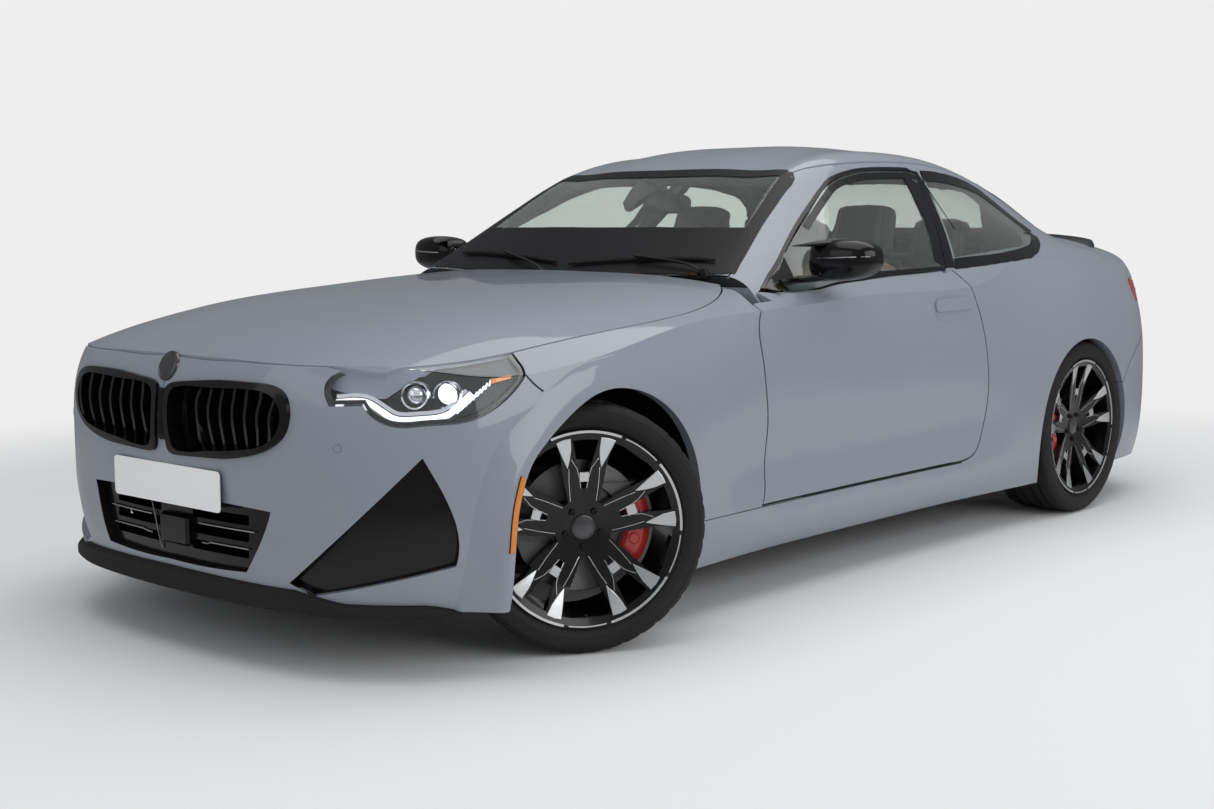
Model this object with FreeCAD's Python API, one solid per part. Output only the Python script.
import FreeCAD, Part
import math
import os

# driving sizes of the car, in millimetres
body_length = 4548.0
body_width = 1838.0
body_height = 1404.0
wheelbase = 2741.0
front_overhang = 815.0
pick_tolerance = 0.001

# wheels
tyre_radius = 333.0
front_tyre_width = 226.0
rear_tyre_width = 246.0
front_track = 1574.0
rear_track = 1572.0
steer_angle = 32.0
lip_radius = 262.0

# panel thicknesses and gaps
panel_depth = 28.0
quarter_depth = 60.0
door_depth = 100.0
pillar_depth = 45.0
glass_depth = 6.0
roof_depth = 30.0
bumper_depth = 45.0
shut_gap = 5.0
door_gap = 6.0
glass_gap = 6.0
seat_gap = 0.3

# wheel openings
well_skin = 56.0
front_arch_radius = 372.0
front_arch_shift = 22.0
front_arch_drop = 7.0
rear_arch_radius = 358.0
rear_arch_drop = 14.0
well_radius = 392.0
front_well_inside = 478.0
rear_well_inside = 640.0

# levels of the floor and the cabin
floor_low = 185.0
floor_high = 235.0
sill_top = 290.0
belt_frame = 925.0
cabin_front = 800.0
cabin_rear = 2570.0
shelf_height = 985.0
belt_low = 700.0
belt_height = 955.0

# hood seen from above
hood_shares = [
    (-0.1539, 0),
    (-0.1535, -0.129),
    (-0.1508, -0.345),
    (-0.1442, -0.523),
    (-0.1332, -0.645),
    (-0.1198, -0.732, True),
    (-0.0873, -0.81),
    (-0.066, -0.836),
    (-0.0519, -0.847, True),
    (-0.0281, -0.855),
    (0.0033, -0.862),
    (0.0365, -0.868),
    (0.0712, -0.875),
    (0.1005, -0.872),
    (0.1266, -0.849),
    (0.1473, -0.807),
    (0.1675, -0.727, True),
    (0.1638, -0.64),
    (0.1566, -0.435),
    (0.1526, -0.218),
    (0.1517, 0),
]

# windscreen seen from above
windscreen_shares = [
    (0.1579, 0),
    (0.159, -0.218),
    (0.1627, -0.435),
    (0.1697, -0.64),
    (0.1741, -0.736, True),
    (0.1895, -0.723),
    (0.2285, -0.665),
    (0.2634, -0.621),
    (0.2924, -0.567, True),
    (0.2869, -0.399),
    (0.283, -0.186),
    (0.2821, 0),
]

# roof panel seen from above
roof_shares = [
    (0.2821, 0),
    (0.283, -0.186),
    (0.2869, -0.399),
    (0.2924, -0.567, True),
    (0.3518, -0.585),
    (0.4398, -0.588),
    (0.5057, -0.582),
    (0.5644, -0.557, True),
    (0.5576, -0.381),
    (0.5532, -0.163),
    (0.5521, 0),
]

# rear window seen from above
back_window_shares = [
    (0.5521, 0),
    (0.5532, -0.163),
    (0.5576, -0.381),
    (0.5644, -0.557, True),
    (0.6157, -0.588),
    (0.6596, -0.596),
    (0.6783, -0.593, True),
    (0.6882, -0.435),
    (0.6922, -0.218),
    (0.6931, 0),
]

# boot lid seen from above
lid_shares = [
    (0.7025, 0),
    (0.7016, -0.218),
    (0.6988, -0.435),
    (0.6915, -0.609),
    (0.6948, -0.696, True),
    (0.7256, -0.713),
    (0.7696, -0.664, True),
    (0.8355, -0.664, True),
    (0.8355, 0, True),
]

# door seen from the side
door_shares = [
    (0.1704, 0.719, True),
    (0.1693, 0.67),
    (0.155, 0.627),
    (0.1491, 0.58),
    (0.1522, 0.52),
    (0.1572, 0.442),
    (0.1616, 0.366),
    (0.1618, 0.299),
    (0.1588, 0.242),
    (0.1533, 0.211, True),
    (0.3903, 0.212, True),
    (0.4156, 0.215),
    (0.4288, 0.231),
    (0.4376, 0.264),
    (0.4437, 0.313),
    (0.4446, 0.37),
    (0.4415, 0.442),
    (0.4365, 0.513),
    (0.4299, 0.57),
    (0.4233, 0.62),
    (0.4167, 0.67),
    (0.4134, 0.719, True),
]

# door glass seen from the side
side_glass_shares = [
    (0.1796, 0.652, True),
    (0.2394, 0.761),
    (0.2876, 0.841),
    (0.3254, 0.899),
    (0.3703, 0.926),
    (0.427, 0.932),
    (0.4485, 0.93, True),
    (0.4343, 0.831),
    (0.4006, 0.652, True),
]

# quarter glass seen from the side
quarter_glass_shares = [
    (0.4151, 0.652, True),
    (0.442, 0.831),
    (0.4534, 0.929, True),
    (0.4721, 0.928),
    (0.5057, 0.919),
    (0.5424, 0.896),
    (0.5717, 0.84),
    (0.5893, 0.773, True),
    (0.5805, 0.737),
    (0.5649, 0.719),
    (0.5453, 0.652, True),
]

# front bumper skin seen from the side
bumper_shares = [
    (-0.2089, 0.121, True),
    (-0.0759, 0.121, True),
    (-0.066, 0.356, True),
    (-0.0242, 0.399, True),
    (-0.0242, 0.443, True),
    (-0.0343, 0.476),
    (-0.0473, 0.502),
    (-0.0576, 0.536, True),
    (-0.0576, 0.641, True),
    (-0.2089, 0.641, True),
]

# rear bumper skin seen from the side
rear_bumper_shares = [
    (0.8685, 0.114, True),
    (0.6596, 0.114, True),
    (0.6596, 0.313, True),
    (0.6772, 0.356, True),
    (0.6992, 0.422),
    (0.7322, 0.473),
    (0.7586, 0.494),
    (0.7828, 0.499, True),
    (0.8685, 0.499, True),
]

# grille seen from the front
kidney_shares = [
    (-0.024, 0.491),
    (-0.054, 0.514),
    (-0.223, 0.525),
    (-0.407, 0.526),
    (-0.49, 0.507),
    (-0.535, 0.473),
    (-0.516, 0.427),
    (-0.479, 0.403),
    (-0.382, 0.387),
    (-0.218, 0.376),
    (-0.076, 0.372),
    (-0.033, 0.399),
]

# headlamp seen square to the front corner
lamp_shares = [
    (-0.062, 0.519),
    (-0.051, 0.49, True),
    (0.039, 0.491, True),
    (0.092, 0.46),
    (0.118, 0.455),
    (0.203, 0.456),
    (0.324, 0.463),
    (0.394, 0.486),
    (0.448, 0.52),
    (0.461, 0.537),
    (0.448, 0.553),
    (0.419, 0.591, True),
    (0.098, 0.591, True),
    (0.022, 0.552, True),
]

# corner vent seen square to the front corner
vent_shares = [
    (0.193, 0.4, True),
    (0.24, 0.345),
    (0.285, 0.237),
    (0.276, 0.208, True),
    (-0.109, 0.151, True),
    (-0.176, 0.171, True),
]

# diffuser seen from behind
diffuser_shares = [
    (-0.609, 0.107, True),
    (-0.511, 0.235, True),
]

# lower intake seen from the front
intake_shares = [
    (0, 0.298, True),
    (-0.326, 0.298),
    (-0.441, 0.294, True),
    (-0.405, 0.239),
    (-0.346, 0.179, True),
    (-0.218, 0.175),
    (0, 0.175, True),
]

# splitter seen from above
splitter_shares = [
    (-0.1792, 0),
    (-0.1759, -0.326),
    (-0.1645, -0.609),
    (-0.144, -0.767),
    (-0.1099, -0.871),
    (-0.0847, -0.919, True),
    (-0.0792, -0.762, True),
    (-0.0923, -0.435),
    (-0.0967, 0),
]

# tail lamp seen square to the rear corner
tail_lamp_shares = [
    (-0.231, 0.627),
    (-0.109, 0.631),
    (0.065, 0.627),
    (0.267, 0.614, True),
    (0.267, 0.553, True),
    (0.109, 0.543),
    (0.065, 0.528, True),
    (-0.022, 0.528, True),
    (-0.065, 0.552),
    (-0.223, 0.57, True),
]

# levels of the body side and how far each upright profile stands in at them
level_shares = [0.107, 0.185, 0.285, 0.385, 0.484, 0.57, 0.641, 0.712, 0.819]
nose_profile_shares = [0.033, 0.009, 0.011, 0, 0.002, 0.052, 0.163, 0.326, 0.609]
lamp_profile_shares = [0.038, 0.011, 0, 0.004, 0.024, 0.085, 0.185, 0.326, 0.566]
fender_profile_shares = [0.044, 0.015, 0.004, 0, 0.007, 0.037, 0.087, 0.163, 0.305]
door_profile_shares = [0.049, 0, 0.024, 0.009, 0, 0.002, 0.017, 0.048, 0.12]
haunch_profile_shares = [0.044, 0.013, 0, 0, 0.009, 0.033, 0.07, 0.141, 0.283]
tail_profile_shares = [0.076, 0.024, 0, 0.015, 0.033, 0.033, 0.033, 0.12, 0.326]

# plan of the body side: place, width, direction inwards, upright profile
station_shares = [
    (-0.1623, 0, 1, 0, nose_profile_shares),
    (-0.1599, -0.305, 0.98, 0.1, nose_profile_shares),
    (-0.1504, -0.566, 0.9, 0.35, nose_profile_shares),
    (-0.1297, -0.762, 0.75, 0.6, lamp_profile_shares),
    (-0.0945, -0.914, 0.45, 0.85, lamp_profile_shares),
    (-0.044, -0.979, 0.1, 1, fender_profile_shares),
    (0.0132, -0.996, 0, 1, fender_profile_shares),
    (0.077, -0.985, 0, 1, fender_profile_shares),
    (0.1539, -0.962, 0, 1, door_profile_shares),
    (0.2748, -0.955, 0, 1, door_profile_shares),
    (0.4178, -0.964, 0, 1, door_profile_shares),
    (0.5167, -0.988, 0, 1, haunch_profile_shares),
    (0.6027, -1, 0, 1, haunch_profile_shares),
    (0.6772, -0.988, -0.05, 1, haunch_profile_shares),
    (0.7432, -0.925, -0.3, 0.9, haunch_profile_shares),
    (0.7872, -0.751, -0.7, 0.7, tail_profile_shares),
    (0.8113, -0.424, -0.95, 0.3, tail_profile_shares),
    (0.8184, 0, -1, 0, tail_profile_shares),
]

# heights of hood, belt and deck: one row per place along the car, one height per width share
deck_width_shares = [0, 0.27, 0.49, 0.7, 0.85, 0.96, 1.1]
deck_shares = [
    (-0.1979, [0.491, 0.484, 0.47, 0.442, 0.399, 0.356, 0.299]),
    (-0.1623, [0.547, 0.541, 0.528, 0.502, 0.463, 0.42, 0.356]),
    (-0.1363, [0.585, 0.583, 0.57, 0.541, 0.502, 0.463, 0.399]),
    (-0.088, [0.627, 0.624, 0.614, 0.584, 0.545, 0.507, 0.449]),
    (-0.033, [0.654, 0.652, 0.643, 0.616, 0.578, 0.545, 0.491]),
    (0.033, [0.671, 0.67, 0.662, 0.638, 0.604, 0.574, 0.531]),
    (0.0989, [0.684, 0.682, 0.677, 0.657, 0.627, 0.6, 0.563]),
    (0.1759, [0.697, 0.695, 0.689, 0.674, 0.652, 0.621, 0.584]),
    (0.2858, [0.705, 0.705, 0.702, 0.698, 0.68, 0.625, 0.57]),
    (0.4178, [0.719, 0.719, 0.718, 0.716, 0.694, 0.634, 0.57]),
    (0.5497, [0.748, 0.748, 0.748, 0.744, 0.705, 0.636, 0.563]),
    (0.6376, [0.773, 0.771, 0.768, 0.748, 0.694, 0.627, 0.556]),
    (0.6926, [0.775, 0.772, 0.764, 0.737, 0.678, 0.614, 0.541]),
    (0.7476, [0.764, 0.759, 0.748, 0.716, 0.659, 0.597, 0.527]),
    (0.7916, [0.748, 0.743, 0.728, 0.694, 0.641, 0.58, 0.509]),
    (0.8179, [0.734, 0.728, 0.712, 0.68, 0.627, 0.566, 0.495]),
    (0.8575, [0.705, 0.699, 0.684, 0.652, 0.598, 0.538, 0.467]),
]

# cross sections of the roof: place, crown height, rail width, rail height, belt width, belt height
roof_section_shares = [
    (0.1319, 0.62, 0.849, 0.605, 0.887, 0.57),
    (0.1748, 0.714, 0.807, 0.675, 0.879, 0.62),
    (0.2199, 0.808, 0.731, 0.766, 0.871, 0.677),
    (0.2529, 0.875, 0.677, 0.833, 0.867, 0.68),
    (0.2891, 0.939, 0.622, 0.899, 0.864, 0.687),
    (0.3188, 0.97, 0.605, 0.929, 0.862, 0.691),
    (0.3628, 0.994, 0.601, 0.95, 0.86, 0.698),
    (0.4178, 1, 0.605, 0.955, 0.855, 0.705),
    (0.4837, 0.988, 0.609, 0.942, 0.849, 0.712),
    (0.5497, 0.949, 0.605, 0.903, 0.838, 0.719),
    (0.6047, 0.896, 0.596, 0.855, 0.822, 0.723),
    (0.6596, 0.825, 0.582, 0.791, 0.8, 0.719),
    (0.7036, 0.762, 0.566, 0.734, 0.778, 0.712),
    (0.7476, 0.694, 0.544, 0.67, 0.751, 0.662),
]

# grilles
kidney_face = -712.0
slat_wave_shares = [(0.04, 0.6), (0.22, 0.1), (0.42, -0.7), (0.6, -1), (0.78, -0.2), (0.96, 0.9)]
intake_slots = 3
intake_slot_low_share = 0.2
intake_slot_pitch = 42.0
intake_slot_height = 26.0
intake_slot_start_share = -0.08
intake_slot_end_share = -0.33

# wheel
rim_half = 110.0
flange = 7.0
bead_seat = 247.0
barrel_radius = 236.0
shoulder_height = 19.0
shoulder_width = 15.0
bead_half = 97.0
hub_radius = 62.0
hub_face = -50.0
cap_face = -68.0
cap_radius = 34.0
spoke_knee = 160.0
knee_face = -84.0
spoke_face = -104.0
spoke_depth = 30.0
spoke_pairs = 5
hub_rise_share = 1.6
wide_window_shares = [(0.298, 5), (0.496, 12), (0.763, 17), (0.927, 17)]
slim_window_shares = [(0.397, 3), (0.611, 6), (0.927, 8.5)]
spindle_radius = 22.0
spindle_length = 60.0
running_gap = 0.05
rotor_radius = 176.0
rotor_hat = 80.0
rotor_front = -34.0
rotor_back = -6.0
rotor_room = 2.0
pad_height = 62.0
pad_depth = 12.0
bridge = 22.0
caliper_half = 110.0
plate_radius = 55.0
plate_depth = 14.0
plate_face = -4.0
pin_radius = 12.0
pin_reach = 150.0
post_half = 26.0
eye_radius = 30.0
arm_depth = 24.0
arm_base = 130.0
beam_half = 60.0
beam_depth = 70.0
front_beam_y = 350.0
rear_beam_y = 400.0

# frame, boot and nose
wall = 30.0
beam_low = 435.0
beam_high = 515.0
rear_beam_low = 545.0
rear_beam_high = 605.0
hanger_half = 20.0

# hinges
door_hinge_x = 775.0
door_hinge_y = 862.0
door_hinge_low = 590.0
door_hinge_high = 790.0
door_pin_radius = 5.0
door_pin_half = 32.0
hinge_arm_half = 12.0
hinge_eye = 9.0
hinge_root_front = 690.0
hinge_root_inside = 736.0
hinge_root_outside = 756.0
hinge_room = 8.0
hinge_skin_room = 2.0
door_swing_radius = 104.0
door_lip = 4.0
door_step = 2.5
door_front_depth = 40.0
door_front_rear = 800.0
foot_front = 792.0
foot_seat_front = 800.0
foot_seat_outside = 790.0
dash_beam_low = 850.0
dash_beam_inside = 700.0
dash_beam_outside = 730.0
firewall_half = 742.0
hood_hinge_x = 762.0
hood_hinge_z = 934.0
hood_hinge_y = 600.0
hinge_knuckle = 10.0
hinge_pin_radius = 5.0
hinge_pin_half = 20.0
hinge_slot_half = 10.0
hinge_slot_low = 908.0
hinge_arm_front = 700.0
hood_swing = 25.0
lid_hinge_x = 3070.0
lid_hinge_z = 1034.0
lid_hinge_y = 508.0
lid_arm_half = 5.0
lid_arm_width = 16.0
lid_elbow_x = 3110.0
lid_elbow_z = 947.0
lid_knee_x = 3215.0
lid_knee_z = 990.0
lid_end_x = 3235.0
lid_end_z = 1040.0
lid_bracket_inside = 518.0
lid_bracket_outside = 528.0
lid_bracket_front = 3030.0
pocket_front = 3045.0
pocket_rear = 3262.0
pocket_half = 26.0
pocket_top = 1048.0
hem_width = 15.0
hem_depth = 6.0

# frames behind glass and roof
frame_ledge = 20.0

# tunnel, boot and rails
tunnel_half = 110.0
tunnel_top = 370.0
boot_half = 590.0
boot_rear = 3640.0
boot_sill = 640.0
rail_width = 60.0
shelf_rear = 3070.0
nose_frame = -640.0
front_rail_y = 400.0
tower_half = 90.0
tower_top = 760.0
radiator_half = 430.0
radiator_top = 660.0
hood_clearance = 6.0

# cabin furniture
seat_front = 1230.0
seat_length = 520.0
seat_half = 240.0
seat_base = 60.0
seat_top = 240.0
seat_round = 40.0
seat_y = 385.0
back_depth = 120.0
back_height = 620.0
back_lean = 18.0
head_half = 130.0
head_depth = 90.0
head_height = 190.0
head_gap = 40.0
head_overlap = 60.0
foot_front_share = 0.25
foot_rear_share = 0.8
bench_length = 480.0
bench_half = 520.0
bench_height = 560.0
dash_half = 690.0
dash_low = 560.0
dash_top = 900.0
dash_depth = 300.0
dash_round = 50.0
dash_clearance = 50.0
wheel_ring = 175.0
wheel_grip = 15.0
wheel_hub = 60.0
column_length = 260.0
column_lean = 66.0
hand_wheel_ratio = 14.5
steering_place = 1225.0
steering_level = 840.0

# door mirrors
mirror_reach = 236.0
mirror_tip = 1037.0
mirror_depth = 170.0
mirror_height = 125.0
mirror_place = 1065.0
mirror_level = 1012.0
mirror_foot = 930.0
mirror_root = 800.0
mirror_face_share = 0.28
stalk_half = 42.0
stalk_end = 895.0

# engine and underside
engine_front = -330.0
engine_rear = 480.0
engine_half = 250.0
engine_top = 800.0
engine_round = 14.0
exhaust_y = 430.0
pipe_share = 0.86
fin_pitch = 150.0
fin_length = 90.0
exhaust_radius = 48.0
exhaust_level = 240.0
silencer_length = 200.0
silencer_low = 182.0
silencer_high = 298.0
silencer_round = 24.0
hanger_length = 100.0
silencer_rear = 3560.0
splitter_low = 148.0

# shares that shape the roof sections
crown_shares = [(0.45, 0.1), (0.78, 0.42), (0.95, 0.82)]
window_shares = [(0.1, 0.16), (0.5, 0.52)]
rail_drop_share = 0.7
mitre_limit_share = 0.3
skirt_flare = 25.0

# places that split the skins
fender_rear = 905.0
fender_inside = 655.0
tail_panel_height = 700.0
corner_reach = 1400.0
pillar_foot_rear = 866.0
pillar_foot_low = 880.0
post_front = 640.0
post_depth = 150.0
lock_clearance = 12.0
post_foot_inside = 704.0
post_foot_outside = 716.0
post_foot_top = 320.0
sill_inside = 145.0
lock_post_front = 1850.0
lock_post_rear = 2010.0
kidney_rim = 20.0
kidney_proud = 10.0
kidney_depth = 36.0
slat_count = 8
slat_width = 11.0
slat_depth = 34.0
slat_wave = 9.0
grille_gap = 3.0
grille_recess = 22.0
grille_depth = 60.0
lamp_depth = 160.0
tail_lamp_depth = 80.0
lamp_bowl = 95.0
lamp_wall = 9.0
lens_depth = 4.0
cowl_recess = 10.0
cowl_depth = 40.0
cowl_front = 640.0
cowl_rear = 880.0

# derived levels and places
half_width = body_width / 2
lamp_seam_depth = panel_depth / 2
front_axle_x = front_overhang - body_length / 2
rear_axle_x = front_axle_x + wheelbase
overrun = body_height
post_skin = panel_depth + seat_gap
lamp_recess = lens_depth + seat_gap
pin_low = tyre_radius - pin_reach
pin_high = tyre_radius + pin_reach
engine_low = pin_low + beam_depth + seat_gap
front_rail_low = pin_high + seat_gap
boot_floor = pin_high + seat_gap

UP = FreeCAD.Vector(0, 0, 1)
REAR = FreeCAD.Vector(1, 0, 0)
RIGHT = FreeCAD.Vector(0, 1, 0)


# places in the frame of the car
def point(x, y, z):
    return FreeCAD.Vector(x, y, z)


def along(share):
    return front_axle_x + share * body_length


def across(share):
    return share * half_width


def level(share):
    return share * body_height


# surfaces through rows of points
def mean_chords(rows):
    total = [0.0]
    for k in range(1, len(rows[0])):
        step = sum((row[k] - row[k - 1]).Length for row in rows) / len(rows)
        total.append(total[-1] + step)
    return total


def curve_through(points, places):
    curve = Part.BSplineCurve()
    curve.interpolate(Points=points, Parameters=places)
    return curve


def skin(rows):
    """One smooth face through a grid of points."""
    places = mean_chords(rows)
    heights = mean_chords([list(column) for column in zip(*rows)])
    curves = [curve_through(row, places) for row in rows]
    poles = [curve.getPoles() for curve in curves]
    columns = [curve_through([row[k] for row in poles], heights) for k in range(len(poles[0]))]
    surface = Part.BSplineSurface()
    surface.buildFromPolesMultsKnots(
        [column.getPoles() for column in columns],
        curves[0].getMultiplicities(), columns[0].getMultiplicities(),
        curves[0].getKnots(), columns[0].getKnots(),
        False, False, curves[0].Degree, columns[0].Degree)
    return surface.toShape()


def flat_face(edges):
    return Part.Face(Part.Wire(Part.__sortEdges__(edges)))


def closed_solid(faces):
    shell = Part.Shell(faces)
    shell.sewShape()
    solid = Part.Solid(shell)
    if solid.Volume < 0:
        solid.reverse()
    return solid


def edges_at(shape, axis, value):
    """Edges whose ends all lie on one plane."""
    found = []
    for edge in shape.Edges:
        middle = edge.valueAt((edge.FirstParameter + edge.LastParameter) / 2)
        spots = [getattr(spot, axis) for spot in [corner.Point for corner in edge.Vertexes] + [middle]]
        if max(abs(spot - value) for spot in spots) < pick_tolerance:
            found.append(edge)
    return found


# the lower body: upright sides all round, cut by the surface of hood, belt and deck
def side_volume(inset):
    left = []
    for place, width, lean_x, lean_y, profile in station_shares:
        left.append([(along(place) + lean_x * (across(p) + inset),
                      across(width) + lean_y * (across(p) + inset))
                     for p in profile])
    rows = []
    for k, share in enumerate(level_shares):
        height = level(share)
        near = [point(column[k][0], column[k][1], height) for column in left]
        far = [point(spot.x, -spot.y, height) for spot in near[1:-1]]
        rows.append(near[::-1] + far)
    first = [row[0] for row in rows]
    rows = [row + [start] for row, start in zip(rows, first)]
    side = skin(rows)
    low = level(level_shares[0])
    high = level(level_shares[-1])
    floor_edges = edges_at(side, "z", low)
    roof_edges = edges_at(side, "z", high)
    return closed_solid([side, flat_face(floor_edges), flat_face(roof_edges)])


def top_volume(inset):
    rows = []
    for place, heights in deck_shares:
        near = [point(along(place), across(-w), level(h) - inset) for w,
                h in zip(deck_width_shares, heights)]
        far = [point(spot.x, -spot.y, spot.z) for spot in near[1:]]
        rows.append(near[::-1] + far)
    return skin(rows).extrude(UP * -overrun)


hull_store = {}


def lower_hull(inset):
    if inset not in hull_store:
        hull_store[inset] = side_volume(inset).common(top_volume(inset))
    return hull_store[inset]


def section_points(section, inset):
    place, crown, rail_y, rail_z, belt_y, belt_z = section
    x = along(place)
    top = level(crown) - inset
    rail = across(rail_y) - inset
    rail_top = level(rail_z) - inset * rail_drop_share
    belt = across(belt_y) - inset
    belt_top = level(belt_z)
    drop = top - rail_top
    spots = [(0, top)]
    spots += [(rail * a, top - drop * b) for a, b in crown_shares]
    spots += [(rail + (belt - rail) * a, rail_top - (rail_top - belt_top) * b) for a, b in window_shares]
    spots += [(belt, belt_top), (belt + skirt_flare, belt_low)]
    near = [point(x, -y, z) for y, z in spots]
    far = [point(spot.x, -spot.y, spot.z) for spot in near[1:]]
    return near[::-1] + far


house_store = {}


def greenhouse(inset):
    """Closed volume of roof, windows and pillars, down to a level inside the lower body."""
    if inset not in house_store:
        cover = skin([section_points(section, inset) for section in roof_section_shares])
        caps = []
        for section in (roof_section_shares[0], roof_section_shares[-1]):
            ends = edges_at(cover, "x", along(section[0]))
            spots = section_points(section, inset)
            caps.append(flat_face(ends + [Part.makeLine(spots[0], spots[-1])]))
        first = section_points(roof_section_shares[0], inset)
        last = section_points(roof_section_shares[-1], inset)
        feet = edges_at(cover, "z", belt_low)
        floor = flat_face(feet + [Part.makeLine(first[0], first[-1]), Part.makeLine(last[0], last[-1])])
        house_store[inset] = closed_solid([cover, floor] + caps)
    return house_store[inset]


# outlines: closed lists of flat points, some of them corners
def grown(spots, reach):
    """The same outline with every point moved outwards by the reach."""
    count = len(spots)
    area = 0
    for k in range(count):
        here, after = spots[k], spots[(k + 1) % count]
        area += here[0] * after[1] - after[0] * here[1]
    turn = 1 if area > 0 else -1
    moved = []
    for k in range(count):
        before, here, after = spots[k - 1], spots[k], spots[(k + 1) % count]
        normals = []
        for a, b in ((before, here), (here, after)):
            run, rise = b[0] - a[0], b[1] - a[1]
            size = math.hypot(run, rise)
            normals.append((rise / size * turn, -run / size * turn))
        mean_a = normals[0][0] + normals[1][0]
        mean_b = normals[0][1] + normals[1][1]
        size = math.hypot(mean_a, mean_b)
        stretch = max(size / 2, mitre_limit_share)
        step = reach / stretch
        moved.append((here[0] + mean_a / size * step, here[1] + mean_b / size * step, here[2]))
    return moved


def outline_wire(spots, place):
    """Splines between the corners; place turns a flat point into a point in space."""
    corners = [k for k, spot in enumerate(spots) if spot[2]]
    if not corners:
        curve = Part.BSplineCurve()
        curve.interpolate(Points=[place(a, b) for a, b, mark in spots], PeriodicFlag=True)
        return Part.Wire([curve.toShape()])
    edges = []
    for start, stop in zip(corners, corners[1:] + [corners[0] + len(spots)]):
        run = [place(*spots[k % len(spots)][:2]) for k in range(start, stop + 1)]
        if len(run) == 2:
            edges.append(Part.makeLine(run[0], run[1]))
        else:
            curve = Part.BSplineCurve()
            curve.interpolate(Points=run)
            edges.append(curve.toShape())
    return Part.Wire(edges)


def marked(rows):
    return [(row[0], row[1], len(row) > 2) for row in rows]


def both_sides(spots):
    """Outline given for the left half, from centre to centre, made whole."""
    return spots + [(a, -b, mark) for a, b, mark in reversed(spots[1:-1])] if spots[-1][1] == 0 else spots


def both_front(spots):
    """Outline of the left half seen from the front, made whole."""
    return spots + [(-a, b, mark) for a, b, mark in reversed(spots)]


def seen_from_side(rows):
    return [(along(a), level(b), mark) for a, b, mark in marked(rows)]


def seen_from_above(rows):
    return both_sides([(along(a), across(b), mark) for a, b, mark in marked(rows)])


def seen_from_front(rows):
    return [(across(a), level(b), mark) for a, b, mark in marked(rows)]


def side_prism(spots, reach, near=0):
    """Prism across the left half of the car."""
    wire = outline_wire(grown(spots, reach) if reach else spots, lambda a, b: point(a, near, b))
    return Part.Face(wire).extrude(RIGHT * -overrun)


def plan_prism(spots, reach, low):
    wire = outline_wire(grown(spots, reach) if reach else spots, lambda a, b: point(a, b, low))
    return Part.Face(wire).extrude(UP * overrun)


def front_prism(spots, reach, start, run):
    wire = outline_wire(grown(spots, reach) if reach else spots, lambda a, b: point(start, a, b))
    return Part.Face(wire).extrude(REAR * run)


def corner_prism(spots, reach, axle_x, sign, near, run):
    """Prism square to the left front corner (sign 1) or the left rear corner (sign -1)."""
    half = math.cos(math.pi / 4)
    back = FreeCAD.Vector(sign * half, half, 0)

    def place(a, b):
        return point(axle_x + a * half, -sign * a * half, b) + back * near

    wire = outline_wire(grown(spots, reach) if reach else spots, place)
    return Part.Face(wire).extrude(back * run)


def box(low, high):
    return Part.makeBox(high[0] - low[0], high[1] - low[1], high[2] - low[2], point(*low))


def mirrored(shape):
    return shape.mirror(point(0, 0, 0), RIGHT)


def across_tube(x, y_low, y_high, z, radius):
    return Part.makeCylinder(radius, y_high - y_low, point(x, y_low, z), RIGHT)


def largest(shape):
    """The main solid of a cut, without slivers."""
    return max(shape.Solids, key=lambda solid: solid.Volume)


def save(name, shape):
    os.makedirs("parts", exist_ok=True)
    solids = shape.Solids
    whole = solids[0] if len(solids) == 1 else Part.makeCompound(solids)
    whole.exportStep("parts/" + name + ".step")


# the whole hull and the outlines of its seams
half_gap = shut_gap / 2
hull_front = along(deck_shares[0][0])
hull_rear = along(deck_shares[-1][0])
hood_spots = seen_from_above(hood_shares)
windscreen_spots = seen_from_above(windscreen_shares)
roof_spots = seen_from_above(roof_shares)
back_spots = seen_from_above(back_window_shares)
lid_spots = seen_from_above(lid_shares)
splitter_spots = seen_from_above(splitter_shares)
door_spots = seen_from_side(door_shares)
side_glass_spots = seen_from_side(side_glass_shares)
quarter_spots = seen_from_side(quarter_glass_shares)
bumper_spots = seen_from_side(bumper_shares)
rear_bumper_spots = seen_from_side(rear_bumper_shares)
kidney_spots = seen_from_front(kidney_shares)
intake_spots = seen_from_front(intake_shares)
lamp_spots = seen_from_front(lamp_shares)
vent_spots = seen_from_front(vent_shares)
tail_spots = seen_from_front(tail_lamp_shares)


def left_half(x_low=hull_front, x_high=hull_rear, z_low=0, z_high=body_height + overrun, y_high=0):
    return box((x_low, -body_width, z_low), (x_high, y_high, z_high))


def whole_width(x_low, x_high, z_low, z_high):
    return box((x_low, -body_width, z_low), (x_high, body_width, z_high))


def twin(shape):
    """The shape and its mirror image."""
    return shape.fuse(mirrored(shape))


outer = lower_hull(0)
house = greenhouse(0)
thin_skin = outer.cut(lower_hull(panel_depth))
house_wall = house.cut(greenhouse(pillar_depth))
glass_skin = house.cut(greenhouse(glass_depth))

# wheel openings in the skins and the wider wells behind them
front_arch_x = front_axle_x + front_arch_shift
front_arch_z = tyre_radius - front_arch_drop
rear_arch_z = tyre_radius - rear_arch_drop
front_arch = across_tube(front_arch_x, -body_width, -front_well_inside, front_arch_z, front_arch_radius)
front_well = across_tube(front_arch_x, -half_width + well_skin, -front_well_inside, tyre_radius,
                         well_radius)
rear_arch = across_tube(rear_axle_x, -body_width, -rear_well_inside, rear_arch_z, rear_arch_radius)
rear_well = across_tube(rear_axle_x, -half_width + well_skin, -rear_well_inside, tyre_radius, well_radius)
left_wells = front_arch.fuse(front_well).fuse(rear_arch.fuse(rear_well))
wells = twin(left_wells)

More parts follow.
